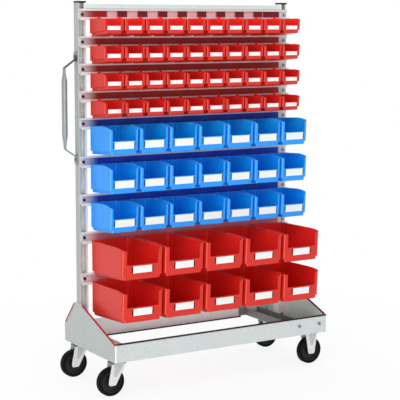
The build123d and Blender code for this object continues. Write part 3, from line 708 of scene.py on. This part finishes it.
def slot_backs(size):
    """Lists the two edges of the plate that closes the right label slot from behind."""
    post_top = rim_height(size, -size["depth"])
    slope = size["lean"] / post_top
    levels = (size["card_low"] + slot_margin - slot_lap, size["card_high"] - slot_margin + slot_lap)
    edges = (size["card"] / 2 + size["slot"] + slot_lap, size["card"] / 2 - slot_lap)
    inset = bin_wall - hook_sunk - size["depth"] + slope * post_top
    return [[(x, inset - slope * level, level) for level in levels] for x in edges]


def hook_columns(size):
    """Lists the two edges of the hook's right half, from the bin's back over the rail's lip."""
    seat = size["height"] - size["rise"]
    tip = seat - hook_drop
    path = [(-hook_sunk, tip), (-hook_sunk, seat), (hook_in, seat), (hook_in, tip)]
    return [[(x, y, z) for y, z in path] for x in (0, hook_half)]


print("hook width:", 2 * hook_half, "mm")

# %% [markdown]
# The columns become faces in bmesh. Solidify later counts on from each face's material: one further for the
# inner skin and two for the rim. So the skins are listed in an order in which the outside, the front corner with
# its painted highlight and the slots each find the right ones after them.

# %% Turn the columns into a mesh
# The edge skins are a painted highlight on the rims and the front corner; the slot skin is a painted shade.
skin_order = ("outside", "inside", "edge", "edge", "inside", "edge", "slot")
highlight_skin = 3
slot_skin = 6
inner_step = 1
rim_step = 2
slot_level = 4
hair = 0.01


def draw_sheet(sheet, columns, is_open=lambda *_: False):
    """Joins neighbouring columns into faces, outward side out, and leaves out those that are open."""
    lines = [[sheet.verts.new(Vector(point) * mm) for point in column] for column in columns]
    for line, following in zip(lines, lines[1:]):
        for level in range(min(len(line), len(following)) - 1):
            if not is_open(level, line[level].co.x / mm, following[level].co.x / mm):
                sheet.faces.new((line[level], line[level + 1], following[level + 1], following[level]))
    return lines


def bin_mesh(name, size, skins):
    """Makes the half wall of a bin, with its label slot, its foot and its hook."""
    slot_start = size["card"] / 2 - hair
    slot_end = size["card"] / 2 + size["slot"] + hair

    def in_slot(level, first, second):
        """Tells whether a face of the wall lies in the label's slot."""
        return level == slot_level and min(first, second) > slot_start and max(first, second) < slot_end

    sheet = bmesh.new()
    columns, highlight_column = bin_columns(size)
    lines = draw_sheet(sheet, columns, in_slot)
    # Faces of the front corner's middle columns get the painted highlight.
    corner_points = {*lines[highlight_column], *lines[highlight_column + 1]}
    for face in sheet.faces:
        if corner_points.issuperset(face.verts):
            face.material_index = highlight_skin
    sheet.faces.new([line[0] for line in lines])
    draw_sheet(sheet, hook_columns(size))
    drawn = len(sheet.faces)
    draw_sheet(sheet, slot_backs(size))
    # The plates behind the label slots get the painted shade.
    for face in list(sheet.faces)[drawn:]:
        face.material_index = slot_skin
    mesh = bpy.data.meshes.new(name)
    sheet.to_mesh(mesh)
    sheet.free()
    mesh.shade_smooth()
    for skin in skin_order:
        mesh.materials.append(skins[skin])
    return mesh


bin_kinds = [
    (small_bin, bin_mesh("small_bin_wall", small_bin, red_skins), (1, 2, 3, 4)),
    (medium_bin, bin_mesh("medium_bin_wall", medium_bin, blue_skins), (5, 6, 7)),
    (large_bin, bin_mesh("large_bin_wall", large_bin, red_skins), (8, 9)),
]
print("faces in each half wall:", {mesh.name: len(mesh.polygons) for _, mesh, _ in bin_kinds})

# %% Hang the rows of bins
hook_reach = 8
rim_round = 0.8


def hang_row(row, size, mesh):
    """Makes one row of bins from the shared half wall, where the construction model hangs it."""
    low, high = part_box(f"row_{row}_bins")
    pitch = (size["width"] + size["gap"]) * mm
    piece = bpy.data.objects.new(f"row_{row}_hanging_bins", mesh)
    scene.collection.objects.link(piece)
    piece.location = (low.x + size["width"] / 2 * mm, high.y - hook_reach * mm, low.z)
    mirror = piece.modifiers.new("mirror", "MIRROR")
    mirror.use_clip = True
    mirror.merge_threshold = seam
    wall = piece.modifiers.new("wall", "SOLIDIFY")
    wall.thickness = bin_wall * mm
    wall.offset = -1
    wall.use_even_offset = True
    wall.material_offset = inner_step
    wall.material_offset_rim = rim_step
    round_edges(piece, "rims", rim_round * mm)
    along = piece.modifiers.new("row", "ARRAY")
    along.use_relative_offset = False
    along.use_constant_offset = True
    along.constant_offset_displace = (pitch, 0, 0)
    along.count = round((high.x - low.x + size["gap"] * mm) / pitch)
    piece.modifiers.new("normals", "WEIGHTED_NORMAL")
    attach(piece, f"row_{row}")
    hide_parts(f"row_{row}_bins")
    return along.count


for size, mesh, rows in bin_kinds:
    hung = [hang_row(row, size, mesh) for row in rows]
    print("bins", size["width"], "mm wide in rows", rows, ":", sum(hung))

# %% [markdown]
# ## Strips, caps and corners
# The panels' edges wear plastic strips: the front one runs right to the corners, where it meets the strips of
# the shoulders. A black strip lies along the free edge of the rear panel's bottom flange. The posts end in flat
# black caps. All of these are small blocks with rounded edges, so one helper draws them from their corners.


# %% Draw small plastic blocks
def block(name, boxes, body, slot, round_over=1.0):
    """Makes one piece from boxes given by two opposite corners in millimetres, with rounded edges."""
    solid = bmesh.new()
    for low, high in boxes:
        cube = bmesh.ops.create_cube(solid, size=mm)["verts"]
        bmesh.ops.scale(solid, vec=Vector(high) - Vector(low), verts=cube)
        bmesh.ops.translate(solid, vec=(Vector(high) + Vector(low)) / 2 * mm, verts=cube)
    mesh = bpy.data.meshes.new(name)
    solid.to_mesh(mesh)
    solid.free()
    piece = bpy.data.objects.new(name, mesh)
    scene.collection.objects.link(piece)
    soften(piece, round_over * mm)
    wear(piece, finishes[slot])
    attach(piece, body)
    return piece


low, high = in_mm("rear_panel")
strip_half = 388
strip_front = high.y - 29.5
strip_back = strip_front + 7
strip_below = low.z - 1.2
strip_above = low.z + 5.3
rear_strip = ((-strip_half, strip_front, strip_below), (strip_half, strip_back, strip_above))
block("rear_edge_strip", [rear_strip], "root", "black_plastic")
print("rear strip:", 2 * strip_half, "mm long")

# %% Corners of the trims and caps of the posts
low, high = in_mm("edge_trims")
corner_long = 11
corner_back = low.y + 12.5
strip_top = in_mm("front_panel")[1].z + 2
strip_foot = strip_top - 7
corner_blocks = [
    ((left, low.y, strip_foot), (left + corner_long, corner_back, strip_top))
    for left in (low.x, high.x - corner_long)
]
block("trim_corners", corner_blocks, "root", "trim_plastic")

low, high = in_mm("upright_caps")
cap_side = high.y - low.y
cap_foot = high.z - 8
cap_blocks = [
    ((left, low.y, cap_foot), (left + cap_side, high.y, high.z))
    for left in (low.x, high.x - cap_side)
]
caps = block("post_caps", cap_blocks, "root", "black_plastic", round_over=1.6)
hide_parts("upright_caps")
print("caps:", round(cap_side), "mm square")

# %% [markdown]
# ## Pressed ribs in the castor forks
# A castor's fork is pressed from sheet, and a rib down each leg keeps it from bending. Each rib is a flat
# tapered pad with sloping sides, drawn between the axle and the fork's crown on both legs.

# %% Press the ribs
rib_raise = 2.5
rib_slope = 3.5
rib_round = 0.8
rib_narrow = 9
rib_wide = 22
rib_run = 90
rib_from = 0.30
rib_to = 0.93
leg_half = 24
crown_inset = 34
crown_drop = 8


def rib_outline(axle, crown, shrink):
    """Gives the four corners of a rib in side view, drawn in by shrink."""
    foot = axle.lerp(crown, rib_from + shrink / rib_run)
    head = axle.lerp(crown, rib_to - shrink / rib_run)
    narrow = rib_narrow - shrink
    wide = rib_wide - shrink
    return [
        (foot.x - narrow, foot.y), (foot.x + narrow, foot.y), (head.x + wide, head.y), (head.x - wide, head.y),
    ]


def fork_ribs(fork, wheel, body):
    """Makes the ribs on the outer sides of one fork's two legs."""
    _, high = in_mm(fork)
    wheel_low, wheel_high = in_mm(wheel)
    hub = (wheel_low + wheel_high) / 2
    axle = Vector((hub.x, hub.z))
    crown = Vector((high.x - crown_inset, high.z - crown_drop))
    pads = bmesh.new()
    for side in (-1, 1):
        rings = []
        for shrink, raised in ((0, 0), (rib_slope, rib_raise)):
            depth = hub.y + side * (leg_half + raised)
            outline = rib_outline(axle, crown, shrink)
            rings.append([pads.verts.new(Vector((x, depth, z)) * mm) for x, z in outline])
        pads.faces.new(rings[0])
        pads.faces.new(rings[1])
        for edge in range(4):
            nearby = (edge + 1) % 4
            pads.faces.new((rings[0][edge], rings[0][nearby], rings[1][nearby], rings[1][edge]))
    bmesh.ops.recalc_face_normals(pads, faces=pads.faces)
    mesh = bpy.data.meshes.new(fork + "_ribs")
    pads.to_mesh(mesh)
    pads.free()
    piece = bpy.data.objects.new(fork + "_ribs", mesh)
    scene.collection.objects.link(piece)
    soften(piece, rib_round * mm)
    wear(piece, rib_shade_zinc)
    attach(piece, body)
    return axle


for end in ("front", "rear"):
    swung = fork_ribs(f"{end}_left_fork", f"{end}_left_wheel", f"{end}_left_swivel")
    fixed = fork_ribs(f"{end}_right_fixed_fork", f"{end}_right_wheel", "root")
    print(end, "axles at", [round(value, 1) for value in (*swung, *fixed)], "mm")

# %% [markdown]
# ## Floor, light and background
# A product shot like this one stands on white paper under broad, soft lamps. The floor and the world show white
# to the camera and to shiny surfaces, the world greying overhead, and a share of the floor stays ordinary matt
# paper, so the trolley keeps its soft shadow. The lamps are set so that a colour comes out about as it was
# mixed.

# %% Light the studio
white = (1, 1, 1, 1)


def seen_directly(tree):
    """Gives 1 for rays that look at the background: from the camera, from gloss or through glass."""
    path = add(tree, "LightPath").outputs
    shiny = combine(tree, "MAXIMUM", path["Is Glossy Ray"], path["Is Transmission Ray"])
    return combine(tree, "MAXIMUM", path["Is Camera Ray"], shiny)


def fade(tree, inputs):
    """Gives a value that eases from one level to another over a range."""
    return add(tree, "MapRange", inputs, interpolation_type="SMOOTHSTEP").outputs["Result"]


world = bpy.data.worlds.new("studio")
world.use_nodes = True
scene.world = world
sky = world.node_tree
direction = add(sky, "TexCoord").outputs["Generated"]
upward = add(sky, "SeparateXYZ", {"Vector": direction}).outputs["Z"]
overhead = {"Value": upward, "From Min": 0.1, "From Max": 0.9, "To Min": 0.72, "To Max": 0.95}
ceiling = {"Value": upward, "From Min": 0.25, "From Max": 0.8, "To Min": 1.0, "To Max": 0.3}
ambient = sky.nodes["Background"]
ambient.inputs["Color"].default_value = white
sky.links.new(fade(sky, overhead), ambient.inputs["Strength"])
backdrop = add(sky, "Background", {"Color": white, "Strength": fade(sky, ceiling)})
choice = add(sky, "MixShader", {0: seen_directly(sky), 1: ambient.outputs[0], 2: backdrop.outputs[0]})
sky.links.new(choice.outputs[0], sky.nodes["World Output"].inputs["Surface"])
print("ambient light:", overhead["To Min"], "level to", overhead["To Max"], "overhead")

# %% Lay the floor
floor_reach = 60
sheet = bmesh.new()
bmesh.ops.create_grid(sheet, x_segments=1, y_segments=1, size=floor_reach)
floor_mesh = bpy.data.meshes.new("floor")
sheet.to_mesh(floor_mesh)
sheet.free()
floor = bpy.data.objects.new("floor", floor_mesh)
scene.collection.objects.link(floor)
floor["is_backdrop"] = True

paper = bpy.data.materials.new("studio_paper")
paper.use_nodes = True
tree = paper.node_tree
matt = add(tree, "BsdfDiffuse", {"Color": (0.9, 0.9, 0.9, 1)})
glow = add(tree, "Emission", {"Color": white, "Strength": 1.0})
away = add(tree, "VectorMath", {0: own_space(tree)}, operation="LENGTH").outputs["Value"]
fading = {"Value": away, "From Min": 0.6, "From Max": 2.2, "To Min": 0.85, "To Max": 1.0}
share = combine(tree, "MULTIPLY", seen_directly(tree), fade(tree, fading))
blend = add(tree, "MixShader", {0: share, 1: matt.outputs[0], 2: glow.outputs[0]})
tree.links.new(blend.outputs[0], tree.nodes["Material Output"].inputs["Surface"])
floor.data.materials.append(paper)
print("floor:", 2 * floor_reach, "m across")

# %% Hang the lamps
trolley_middle = Vector((0, 0, 0.85))


def softbox(name, place, size, watts):
    """Hangs a square lamp that faces the middle of the trolley."""
    lamp = bpy.data.lights.new(name, "AREA")
    lamp.size = size
    lamp.energy = watts
    hung = bpy.data.objects.new(name, lamp)
    hung.location = place
    aim = trolley_middle - Vector(place)
    hung.rotation_euler = aim.to_track_quat("-Z", "Y").to_euler()
    scene.collection.objects.link(hung)


softbox("key_lamp", (-3.1, -3.6, 4.6), size=3.0, watts=80)
softbox("low_lamp", (-2.6, -4.4, 0.5), size=1.4, watts=44)
softbox("back_lamp", (1.5, 5.0, 3.5), size=3.0, watts=45)
print("lamps:", [lamp.name for lamp in bpy.data.lights])

# %% [markdown]
# ## Measure and finish
# The finish must not make the trolley larger or smaller. The box of the dressed model is measured now.

# %% Measure and finish
low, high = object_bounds()
print("visual size in mm:", [round(side / mm, 1) for side in high - low])
